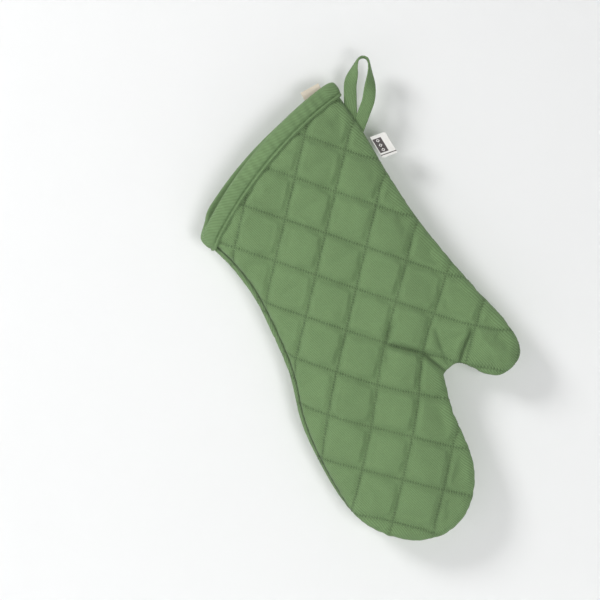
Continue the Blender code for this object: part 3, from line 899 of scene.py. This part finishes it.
def quilted_shell():
    """Both covers as one closed mesh, its seams and stitches pinned, puffed by cloth under pressure."""
    spots, faces, thumbs = flat_half(STEPS_IN_CELL)
    distance, inside_cuff = on_seam(spots)[0], cuff_place(spots)[0]
    count = len(spots)
    loose = smooth((distance - 4 * MM) / (24 * MM)) * smooth((inside_cuff - 12 * MM) / (30 * MM))
    dip = groove(spots) * smooth(distance / RIM) + slack(spots) * loose
    front = rounded(spots, -1) + dip[:, None] * BACK
    back = rounded(spots, 1) - dip[:, None] * BACK
    behind = np.where(distance < ON_SEAM, np.arange(count), np.arange(count) + count)
    back_faces = [[int(behind[k]) for k in face[::-1]] for face in faces]
    tags = [FRONT_THUMB if t else FRONT_HAND for t in thumbs]
    tags += [BACK_THUMB if t else BACK_HAND for t in thumbs]
    at_cuff = np.abs(inside_cuff) < ON_SEAM
    cap = []
    for face in faces:
        for a, b in zip(face, face[1:] + face[:1]):
            if at_cuff[a] and at_cuff[b]:
                cap.append(list(dict.fromkeys([b, a, int(behind[a]), int(behind[b])])))
    tags += [MOUTH_CAP] * len(cap)
    used, every = only_used(faces + back_faces + cap)
    pattern = np.vstack([spots, spots])[used]
    cells = quilt_place(pattern)
    distance, inside_cuff = (np.concatenate([own, own])[used] for own in (distance, inside_cuff))
    pinned = (off_row(cells) < 0.1 * MM) | (distance < ON_SEAM)
    pinned |= (inside_cuff < BINDING_WIDTH) | (crease(pattern)[0] > CREASE_HELD)
    mesh = bpy.data.meshes.new("quilted_shell")
    mesh.from_pydata(np.vstack([front, back])[used].tolist(), [], every)
    mesh.polygons.foreach_set("material_index", tags)
    at = corner_points(mesh)
    add_map(mesh, "Pattern", pattern[at, ::-1])
    add_map(mesh, "Quilt", cells[at] + QUILT_COUNT_FROM)
    shell = placed("quilted_shell", mesh)
    shell.vertex_groups.new(name="pinned").add(np.nonzero(pinned)[0].tolist(), 1.0, "REPLACE")
    full = shell.vertex_groups.new(name="fuller")
    fuller = gathered(pattern)
    for k in np.nonzero(fuller > 0.05)[0]:
        full.add([int(k)], float(fuller[k]), "REPLACE")
    puff(shell)
    bm = bmesh.new()
    bm.from_mesh(mesh)
    creases = bm.edges.layers.float.new("crease_edge")
    caps = [face for face in bm.faces if face.material_index == MOUTH_CAP]
    bmesh.ops.delete(bm, geom=caps, context="FACES")
    for edge in bm.edges:
        if len({face.material_index in (BACK_HAND, BACK_THUMB) for face in edge.link_faces}) == 2:
            edge[creases] = 0.9
    bm.to_mesh(mesh)
    bm.free()
    return shell


def puff(shell):
    """Blows the cells up between their stitches, and keeps the result in the mesh."""
    mesh = shell.data
    rest = points_of(mesh)
    cloth = shell.modifiers.new("Cloth", "CLOTH")
    for name, value in PUFF_CLOTH.items():
        setattr(cloth.settings, name, value)
    cloth.settings.effector_weights.gravity = 0.0
    cloth.collision_settings.use_collision = False
    cloth.point_cache.frame_start = 1
    cloth.point_cache.frame_end = PUFF_FRAMES
    scene = bpy.context.scene
    for frame_number in range(1, PUFF_FRAMES + 1):
        scene.frame_set(frame_number)
    depsgraph = bpy.context.evaluated_depsgraph_get()
    settled = points_of(shell.evaluated_get(depsgraph).data)
    shell.modifiers.remove(cloth)
    scene.frame_set(1)
    moved = settled - rest
    far = np.linalg.norm(moved, axis=1)
    moved *= np.minimum(1, PUFF_CAP / np.maximum(far, 1e-9))[:, None]
    mesh.vertices.foreach_set("co", (rest + moved).astype(np.float32).ravel())
    mesh.update()


def subdivided(obj):
    finer = obj.modifiers.new("Finer", "SUBSURF")
    finer.levels = finer.render_levels = 1
    depsgraph = bpy.context.evaluated_depsgraph_get()
    made = bpy.data.meshes.new_from_object(obj.evaluated_get(depsgraph))
    obj.modifiers.remove(finer)
    return made


def half_of(mesh, half):
    """(points, normals, faces, thumb faces, maps) of the front or the back of the shell."""
    hand, thumb = (FRONT_HAND, FRONT_THUMB) if half == "front" else (BACK_HAND, BACK_THUMB)
    points, faces = points_of(mesh), faces_of(mesh)
    tags = read(mesh.polygons, "material_index", kind=np.int32)
    own = [face for face, tag in zip(faces, tags) if tag in (hand, thumb)]
    thumbs = [tag == thumb for tag in tags if tag in (hand, thumb)]
    maps = {name: uv_at_points(mesh, name) for name in ("Pattern", "Quilt")}
    spots = maps["Pattern"][:, ::-1]
    # The Edge map: the distance to the seam and the nearness of a crease, which set the painted shade along
    # both.
    maps["Edge"] = np.stack([on_seam(spots)[0], crease(spots)[1]], -1)
    return points, point_normals(points, own), own, thumbs, maps


def make_covers(materials):
    """The covers and the batting behind them; returns each half's surface for the stitches to follow."""
    shell = quilted_shell()
    fine = subdivided(shell)
    surfaces = {}
    for half in HALVES:
        points, normals, faces, thumbs, maps = half_of(fine, half)
        surfaces[half] = pattern_finder(points, normals, faces, maps["Pattern"][:, ::-1])
        for part in PARTS:
            own = faces_in(part, faces, thumbs)
            name, values = f"{half}_cover_cloth_{part}", corner_maps(own, **maps)
            cover = closed_skin(name, points, normals, own, values, COVER, materials["cover"])
            attach(cover, part)
            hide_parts(*[f"{half}_cover_{node}" for node in PARTS[part]])
        points, normals, faces, thumbs, maps = half_of(shell.data, half)
        spots = maps["Pattern"][:, ::-1]
        under = points - normals * (COVER + BATTING_GAP)
        press = mouth_press(cuff_place(spots)[0], *INNER_PRESS) * (1 - ROW_PRESS * by_a_row(spots))
        for part in PARTS:
            own, name = faces_in(part, faces, thumbs), f"{half}_batting_fill_{part}"
            batting = closed_skin(name, under, normals, own, {}, BATTING * press, materials["batting"])
            attach(batting, part)
            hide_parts(*[f"{half}_batting_{node}" for node in PARTS[part]])
    bpy.data.objects.remove(shell)
    return surfaces


def pattern_finder(points, normals, faces, pattern):
    """A function that gives the place and the normal on a surface of each point of the flat pattern."""
    corners = []
    for face in faces:
        corners += [(face[0], face[k], face[k + 1]) for k in range(1, len(face) - 1)]
    flat = [Vector((*spot, 0.0)) for spot in pattern]
    tree = BVHTree.FromPolygons(flat, corners)
    corners = np.array(corners)

    def find(spots):
        hits = [tree.find_nearest(Vector((*spot, 0.0))) for spot in spots]
        own = corners[[hit[2] for hit in hits]]
        at = np.array([hit[0][:2] for hit in hits])
        a, b, c = (pattern[own[:, k]] for k in range(3))
        area = cross(b - a, c - a)
        weights = np.stack([cross(b - at, c - at), cross(c - at, a - at), cross(a - at, b - at)], -1)
        weights = weights / area[:, None]
        places = (points[own] * weights[..., None]).sum(1)
        ways = (normals[own] * weights[..., None]).sum(1)
        return places, ways / np.linalg.norm(ways, axis=1)[:, None]

    return find


def cross(a, b):
    return a[..., 0] * b[..., 1] - a[..., 1] * b[..., 0]


def attach(piece, part):
    """The body's piece bends at the knuckles, and the thumb's piece bends where the thumb folds."""
    if part == "thumb":
        start, end = (world(THUMB_FOLD.mean(0) + FOLD_OUT * reach, 0.0) for reach in THUMB_BEND)
        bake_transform(piece, "hand", "thumb", start=tuple(start), end=tuple(end))
    else:
        start, end = (world(np.array([along, CROTCH[1] / 2]), 0.0) for along in KNUCKLE_BEND)
        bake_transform(piece, "hand", "fingers", start=tuple(start), end=tuple(end))


# ------------------------------------------------------------------ linings


def make_linings(materials):
    spots, faces, thumbs = flat_half(LINING_STEPS)
    for half, side in (("front", -1), ("back", 1)):
        points = inner_side(spots, side)
        own_faces = faces if side < 0 else [face[::-1] for face in faces]
        normals = point_normals(points, own_faces)
        for part in PARTS:
            own, name = faces_in(part, own_faces, thumbs), f"{half}_lining_cloth_{part}"
            maps = corner_maps(own, Pattern=spots[:, ::-1])
            lining = closed_skin(name, points, normals, own, maps, LINING, materials["lining"])
            attach(lining, part)
            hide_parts(*[f"{half}_lining_{node}" for node in PARTS[part]])


# ------------------------------------------------------------------ the binding round the mouth


def mouth_stations():
    """Stations round the mouth: (place across from 0 to 1, side), over the front and back along the back."""
    count = round(CUFF_LENGTH / BINDING_STEP)
    over = np.arange(count) / count
    return np.concatenate([over, 1 - over]), np.concatenate([-np.ones(count), np.ones(count)])


def seam_ends(depth):
    """How far across the cuff the two seams lie, at that depth inside its edge."""
    ends = []
    for line in (FINGERS[:40], THUMB[::-1][:40]):
        inside_cuff, t = cuff_place(line)
        order = np.argsort(inside_cuff)
        ends.append(float(np.interp(depth, inside_cuff[order], t[order])))
    return ends


def cuff_row(depth, over, from_seam=0.0):
    """Points at that depth inside the edge of the cuff, at those parts of the way between the seams."""
    low, high = seam_ends(depth)
    t = low + from_seam / CUFF_LENGTH + over * (high - low - 2 * from_seam / CUFF_LENGTH)
    return CUFF_LEFT + t[:, None] * CUFF_RUN + CUFF_IN * (depth - 4 * CUFF_BOW * t * (1 - t))[:, None]


def ring_of(depth, surface, from_seam=0.0):
    """The points round the mouth at that depth, on the outer or the inner surface."""
    over, side = mouth_stations()
    spots = cuff_row(depth, over, from_seam)
    return np.where((side < 0)[:, None], surface(spots, -1), surface(spots, 1))


def make_binding(materials):
    """The binding: a folded strip sewn over the edge of the mouth, with a corded ridge at its inner edge."""
    over, side = mouth_stations()
    count = len(over)
    sections = []
    depths = np.concatenate([np.arange(BINDING_WIDTH, 0.9 * MM, -BINDING_ROW), [MOUTH_TOP]])
    rows = np.array([ring_of(depth, lambda spots, s: rounded(spots, s, 0.0)) for depth in [*depths, 0.0]])
    down = np.gradient(rows, axis=0)
    round_way = np.roll(rows, -1, axis=1) - np.roll(rows, 1, axis=1)
    ways = np.cross(down, round_way)
    ways /= np.linalg.norm(ways, axis=-1)[..., None]
    ways *= np.sign(((rows - rows.mean(axis=(0, 1))) * ways).sum(-1).mean())
    around = np.arange(count) * 2 * CUFF_LENGTH / count
    flat_ends = smooth(np.minimum(over, 1 - over) * CUFF_LENGTH / (7 * MM))
    for k, depth in enumerate(depths):
        ridge = CORD_HEIGHT * flat_ends * bell(depth - CORD_AT, CORD_WIDTH, 2)
        sewn = SEWN_DIP * flat_ends * bell(depth - SEWN_AT, SEWN_WIDTH, 2)
        ripple = RIPPLE * np.sin(around * 2 * math.pi / RIPPLE_LENGTH + 0.9 * np.sin(around * 90))
        ripple = ripple * (1 - ridge / CORD_HEIGHT)
        tuck = min(1.0, (BINDING_WIDTH - depth) / (0.8 * MM))
        roll = BINDING_ROLL * math.sin(math.pi * min(1.0, max(0.0, depth / SEWN_AT))) ** 0.7
        height = BINDING * (0.25 + 0.75 * tuck) + roll + ridge - sewn + ripple * tuck
        sections.append(rows[k] + ways[k] * height[:, None])
    inner = []
    for depth in np.arange(MOUTH_TOP, BINDING_WIDTH - 1 * MM, 1.0 * MM):
        inner.append(ring_of(depth, lambda spots, s: inner_side(spots, s, INNER_BINDING), INNER_FROM_SEAM))
    middle, half = (sections[-1] + inner[0]) / 2, (sections[-1] - inner[0]) / 2
    bulge = np.linalg.norm(half, axis=1).clip(1.2 * MM, 2.6 * MM)
    off = -(CUFF_IN[0] * DOWN + CUFF_IN[1] * ACROSS)
    for turn in np.linspace(0, math.pi, 8)[1:-1]:
        sections.append(middle + half * math.cos(turn) + off * (bulge * math.sin(turn))[:, None])
    sections += inner
    points = np.vstack(sections)
    faces = grid_faces(len(sections), count, round_rows=True)
    normals = point_normals(points, faces)
    if ((points - points.mean(0)) * normals)[: count * len(depths)].sum() < 0:
        faces = [face[::-1] for face in faces]
        normals = -normals
    run = np.linalg.norm(np.diff(np.array(sections), axis=0), axis=-1).mean(1)
    run = np.concatenate([[0.0], np.cumsum(run)])
    u, v = np.tile(around, len(sections)), np.repeat(run, count)
    whole = 2 * CUFF_LENGTH
    corners = []
    for face in faces:
        own = [u[k] for k in face]
        if max(own) - min(own) > whole / 2:
            own = [value + whole if value < whole / 2 else value for value in own]
        corners.append([(value, v[k]) for value, k in zip(own, face)])
    maps = {"Pattern": corners}
    binding = closed_skin("mouth_binding", points, normals, faces, maps, 0.45 * MM, materials["binding"])
    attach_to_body(binding, "hand")
    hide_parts("cuff_binding")
    sewn_row = min(range(len(depths)), key=lambda k: abs(depths[k] - SEWN_AT))
    return sections[sewn_row], ways[sewn_row]


# ------------------------------------------------------------------ stitches


def stitch_tree(surface):
    """Geometry Nodes: a short stitch at every pitch along each row, lying along it and flat on the cloth."""
    nodes, given, out = node_group(
        "stitch_rows",
        [
            ("Rows", "Geometry", None), ("Pitch", "Float", STITCH_PITCH),
            ("Stitch length", "Float", STITCH_LENGTH), ("Thread radius", "Float", THREAD_RADIUS),
        ],
        [("Stitches", "Geometry")],
        "GeometryNodeTree",
    )  # fmt: skip
    add, radius = nodes.add, given["Thread radius"]
    curve = add("GeometryNodeMeshToCurve", {"Mesh": given["Rows"]}).outputs[0]
    spaced = add("GeometryNodeResampleCurve", {"Curve": curve, "Length": given["Pitch"]}, mode="LENGTH")
    ball = add("GeometryNodeMeshUVSphere", {"Segments": 6, "Rings": 5, "Radius": radius}).outputs["Mesh"]
    stretch = nodes.math("DIVIDE", given["Stitch length"], nodes.times(radius, 2.0))
    scale = add("ShaderNodeCombineXYZ", {"X": stretch, "Y": 1.0, "Z": 0.8}).outputs[0]
    long = add("GeometryNodeTransform", {"Geometry": ball, "Scale": scale}).outputs[0]
    tangent = add("GeometryNodeInputTangent").outputs[0]
    way = add("GeometryNodeInputNamedAttribute", {"Name": "way"}, data_type="FLOAT_VECTOR").outputs[0]
    turn = add("FunctionNodeAxesToRotation", primary_axis="X", secondary_axis="Z")
    nodes.feed(turn.inputs["Primary Axis"], tangent)
    nodes.feed(turn.inputs["Secondary Axis"], way)
    each = {"Points": spaced.outputs[0], "Instance": long, "Rotation": turn.outputs[0]}
    made = add("GeometryNodeInstanceOnPoints", each).outputs[0]
    made = add("GeometryNodeRealizeInstances", {0: made}).outputs[0]
    made = add("GeometryNodeSetShadeSmooth", {"Geometry": made}).outputs[0]
    made = add("GeometryNodeSetMaterial", {"Geometry": made, "Material": surface}).outputs[0]
    nodes.feed(out["Stitches"], made)
    return nodes.tree


def stitches(name, tree, rows, pitch=None, length=None, radius=None):
    """One mesh of the stitches along the rows, each a pair of (places, ways)."""
    places = np.vstack([row[0] for row in rows])
    ways = np.vstack([row[1] for row in rows])
    edges, first = [], 0
    for row in rows:
        edges += [(first + k, first + k + 1) for k in range(len(row[0]) - 1)]
        first += len(row[0])
    mesh = bpy.data.meshes.new(name)
    mesh.from_pydata(places.tolist(), edges, [])
    stored = mesh.attributes.new("way", "FLOAT_VECTOR", "POINT")
    stored.data.foreach_set("vector", ways.astype(np.float32).ravel())
    line = placed(name + "_rows", mesh)
    modifier = line.modifiers.new("Stitches", "NODES")
    modifier.node_group = tree
    given = {s.name: s.identifier for s in tree.interface.items_tree if s.in_out == "INPUT"}
    for label, value in (("Pitch", pitch), ("Stitch length", length), ("Thread radius", radius)):
        if value:
            modifier[given[label]] = value
    depsgraph = bpy.context.evaluated_depsgraph_get()
    made = bpy.data.meshes.new_from_object(line.evaluated_get(depsgraph))
    bpy.data.objects.remove(line)
    for attribute in [a.name for a in made.attributes if a.name == "way"]:
        made.attributes.remove(made.attributes[attribute])
    made.name = name
    return placed(name, made)


def quilting_rows(find):
    """The rows of stitches across one half, split where they pass from the hand to the thumb."""
    rows = {part: [] for part in PARTS}
    step = 1.0 * MM / QUILT_SIDE
    reach = np.arange(-QUILT_ROWS, QUILT_ROWS, step)
    for k in range(-QUILT_ROWS, QUILT_ROWS):
        row = np.stack([np.full(len(reach), float(k)), reach], -1)
        for cells in (row, row[:, ::-1]):
            spots = quilt_spot(cells)
            distance, _, _ = on_seam(spots)
            inside_cuff, _ = cuff_place(spots)
            kept = inside(spots, OUTLINE) & (distance > 1.5 * MM) & (inside_cuff > BINDING_WIDTH - 0.5 * MM)
            thumbs = in_thumb(spots)
            label = np.where(kept, np.where(thumbs, 2, 1), 0)
            for run in np.split(np.arange(len(spots)), np.nonzero(np.diff(label))[0] + 1):
                if label[run[0]] and len(run) > 3:
                    places, ways = find(spots[run])
                    part = "thumb" if label[run[0]] == 2 else "body"
                    rows[part].append((places + ways * (0.15 * MM), ways))
    return rows


def make_stitches(surfaces, materials, sewn):
    tree = stitch_tree(materials["thread"])
    for half in HALVES:
        for part, rows in quilting_rows(surfaces[half]).items():
            quilting = stitches(f"{half}_quilting_stitches_{part}", tree, rows)
            attach(quilting, part)
    places, ways = sewn
    places, ways = (np.vstack([own, own[:1]]) for own in (places, ways))
    thread = stitches("binding_stitches", tree, [(places + ways * 0.1 * MM, ways)])
    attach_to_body(thread, "hand")
    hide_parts("binding_thread")


# ------------------------------------------------------------------ the loop and the labels


def tape_sections():
    """The tape of the loop: (centre, width way, face way, width) along it, turning a quarter at its top."""
    path = through(LOOP_PATH, 1.0 * MM)
    run = np.concatenate([[0.0], np.cumsum(np.linalg.norm(np.diff(path, axis=0), axis=1))])
    ahead = np.gradient(path, axis=0)
    tangent = np.stack([ahead[:, 0], np.zeros(len(path)), ahead[:, 1]], -1)
    tangent /= np.linalg.norm(tangent, axis=1)[:, None]
    top = run[-1] * LOOP_TOP
    reach = np.where(run < top, top, run[-1] - top) - LOOP_FLAT
    ease = np.clip((np.abs(run - top) - LOOP_ARCH) / (reach - LOOP_ARCH), 0, 1)
    turn = (math.pi / 2 * smooth(ease))[:, None]
    outward = np.stack([-tangent[:, 2], np.zeros(len(path)), tangent[:, 0]], -1)
    face = outward * np.cos(turn) + np.cross(tangent, outward) * np.sin(turn)
    centre = np.stack([path[:, 0], np.zeros(len(path)), path[:, 1]], -1)
    width = LOOP_WIDTH * (1 + 0.1 * smooth(ease))
    return centre, tangent, np.cross(tangent, face), face, width, run


def run_in(sections, run, tangent, way):
    """Runs the last stretch of the tape straight on into the seam, to a cut that lies along it."""
    ends = [np.array([along, np.interp(along, THUMB[::-1, 0], THUMB[::-1, 1])]) for along in LOOP_SEAM]
    a, b = (world(end, 0.0) for end in ends)
    inward = np.cross(b - a, BACK)
    inward /= np.linalg.norm(inward)
    if inward @ (world(QUILT_NODE, 0.0) - a) < 0:
        inward = -inward
    last = int(np.searchsorted(run, LOOP_ROOT))
    flat = tangent * way
    reach = (LOOP_INTO_SEAM - (sections[last] - a) @ inward) / (flat @ inward)
    end = sections[last] + reach[:, None] * flat
    for k in range(last):
        t = 1 - run[k] / run[last]
        sections[k] = sections[last] + (end - sections[last]) * t


def make_loop(materials, tree):
    centre, tangent, across, face, width, run = tape_sections()
    outline = [(x, 1 - 0.75 * abs(x) ** 6) for x in np.linspace(-1, 1, 13)]
    outline += [(x, -(1 - 0.75 * abs(x) ** 6)) for x in np.linspace(1, -1, 13)]
    count = len(outline)
    points, maps = [], []
    for k in range(len(centre)):
        for x, h in outline:
            sewn = 0.25 * bell(abs(x) - LOOP_STITCHES_AT, 0.1)
            lift = (h - math.copysign(sewn, h)) * LOOP_THICKNESS / 2
            points.append(centre[k] + across[k] * (x * width[k] / 2) + face[k] * lift)
            maps.append((x * width[k] / 2, run[k]))
    points = np.array(points).reshape(len(centre), count, 3)
    run_in(points, run, tangent[0], -1)
    run_in(points[::-1], run[-1] - run[::-1], tangent[-1], 1)
    points = points.reshape(-1, 3)
    faces = grid_faces(len(centre), count, round_rows=True)
    faces.append(list(range(count)))
    faces.append([(len(centre) - 1) * count + j for j in reversed(range(count))])
    mesh = bpy.data.meshes.new("loop_tape")
    mesh.from_pydata(points.tolist(), [], faces)
    bm = bmesh.new()
    bm.from_mesh(mesh)
    bmesh.ops.recalc_face_normals(bm, faces=bm.faces)
    bm.to_mesh(mesh)
    bm.free()
    add_map(mesh, "Pattern", np.array(maps)[corner_points(mesh)])
    mesh.shade_smooth()
    mesh.materials.append(materials["tape"])
    loop = placed("loop_tape", mesh)
    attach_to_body(loop, "loop")
    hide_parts("hanging_loop")
    rows = []
    for x in (-LOOP_STITCHES_AT, LOOP_STITCHES_AT):
        for sign in (1, -1):
            middle = centre + across * (x * width / 2)[:, None] + face * (sign * LOOP_THICKNESS * 0.4)
            rows.append((middle[3:-3], face[3:-3] * sign))
    sewn = stitches("loop_stitches", tree, rows, pitch=2.4 * MM, length=1.6 * MM, radius=0.14 * MM)
    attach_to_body(sewn, "loop")


def sheet_strip(name, corners, thickness, surface, curl):
    """(a small label between four corners of the pattern, its length, its width), curled a little."""
    rows, columns = LABEL_STEPS
    spots, maps = [], []
    low, high = np.array(corners[0]), np.array(corners[1])
    size_u, size_v = np.linalg.norm(high - low), np.linalg.norm(np.array(corners[3]) - low)
    for r in range(rows):
        v = r / (rows - 1)
        for c in range(columns):
            u = c / (columns - 1)
            near = low * (1 - u) + high * u
            far = np.array(corners[3]) * (1 - u) + np.array(corners[2]) * u
            depth = curl * (v**2) * math.cos(2.2 * (u - 0.5)) + 0.15 * MM * math.sin(7 * u + 3 * v) * v
            spots.append(world(near * (1 - v) + far * v, depth))
            maps.append((u * size_u, v * size_v))
    points, maps = np.array(spots), np.array(maps)
    faces = grid_faces(rows, columns)
    normals = point_normals(points, faces)
    if normals[:, 1].mean() > 0:
        faces = [face[::-1] for face in faces]
        normals = -normals
    points = points + normals * (thickness / 2)
    maps = corner_maps(faces, Pattern=maps)
    return closed_skin(name, points, normals, faces, maps, thickness, surface), size_u, size_v


def make_labels(materials):
    label, u, v = sheet_strip("woven_side_label", SIDE_LABEL, LABEL_THICKNESS, materials["label"], -1.2 * MM)
    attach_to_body(label, "label_tab")
    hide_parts("side_label")
    care, u, v = sheet_strip("care_label_cloth", CARE_LABEL, CARE_THICKNESS, materials["care"], 0.6 * MM)
    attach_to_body(care, "care_tab")
    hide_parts("care_label")


# ------------------------------------------------------------------ the stage, the light and the camera


def make_stage():
    """A pale floor, and a pale backdrop behind the mitt. From behind, eyes and lamps go through them."""
    made, nodes, shader = new_material("pale_paper", 0.9)
    nodes.feed(shader.inputs["Base Color"], PAPER)
    clear = nodes.add("ShaderNodeBsdfTransparent").outputs[0]
    from_behind = nodes.add("ShaderNodeNewGeometry").outputs["Backfacing"]
    pick = nodes.add("ShaderNodeMixShader", {0: from_behind, 1: shader.outputs[0], 2: clear})
    nodes.feed(nodes.tree.nodes["Material Output"].inputs["Surface"], pick.outputs[0])
    middle = Vector((FRAME_MIDDLE[0], BACKDROP, FRAME_MIDDLE[1]))
    half = STAGE_SIZE / 2
    wall = [(-half, 0, -half), (half, 0, -half), (half, 0, half), (-half, 0, half)]
    floor = [(-half, -half, 0), (half, -half, 0), (half, half, 0), (-half, half, 0)]
    low = CAD_BOX[0][2] - FLOOR_BELOW
    for name, corners, at in (("backdrop", wall, middle), ("floor", floor, Vector((middle.x, 0, low)))):
        mesh = bpy.data.meshes.new(name)
        mesh.from_pydata([tuple(Vector(c) + at) for c in corners], [], [(0, 1, 2, 3)])
        mesh.materials.append(made)
        sheet = placed(name, mesh)
        sheet.visible_shadow = False


def add_light(name, at, size, power):
    lamp = bpy.data.lights.new(name, "AREA")
    lamp.shape = "DISK"
    lamp.size = size
    lamp.energy = power
    light = bpy.data.objects.new(name, lamp)
    target = Vector((FRAME_MIDDLE[0], 0, FRAME_MIDDLE[1]))
    light.location = at
    light.rotation_euler = (target - Vector(at)).to_track_quat("-Z", "Y").to_euler()
    bpy.context.scene.collection.objects.link(light)


def make_light_and_camera():
    sky = bpy.data.worlds.new("studio")
    sky.use_nodes = True
    ground = sky.node_tree.nodes["Background"]
    ground.inputs["Color"].default_value = (1.0, 1.0, 1.0, 1)
    ground.inputs["Strength"].default_value = SKY_STRENGTH
    bpy.context.scene.world = sky
    for lamp in LAMPS:
        add_light(*lamp)
    lens = bpy.data.cameras.new("camera")
    lens.lens = LENS
    lens.sensor_width = SENSOR
    lens.clip_start = 0.01
    camera = bpy.data.objects.new("camera", lens)
    camera.location = (FRAME_MIDDLE[0], -CAMERA_FAR, FRAME_MIDDLE[1])
    camera.rotation_euler = (math.pi / 2, 0, 0)
    bpy.context.scene.collection.objects.link(camera)
    bpy.context.scene.camera = camera
    bpy.context.scene.view_settings.view_transform = "Standard"


make_light_and_camera()
make_stage()
MATERIALS = make_materials()
COVERS = make_covers(MATERIALS)
make_linings(MATERIALS)
SEWN = make_binding(MATERIALS)
make_stitches(COVERS, MATERIALS, SEWN)
make_loop(MATERIALS, stitch_tree(MATERIALS["thread"]))
make_labels(MATERIALS)
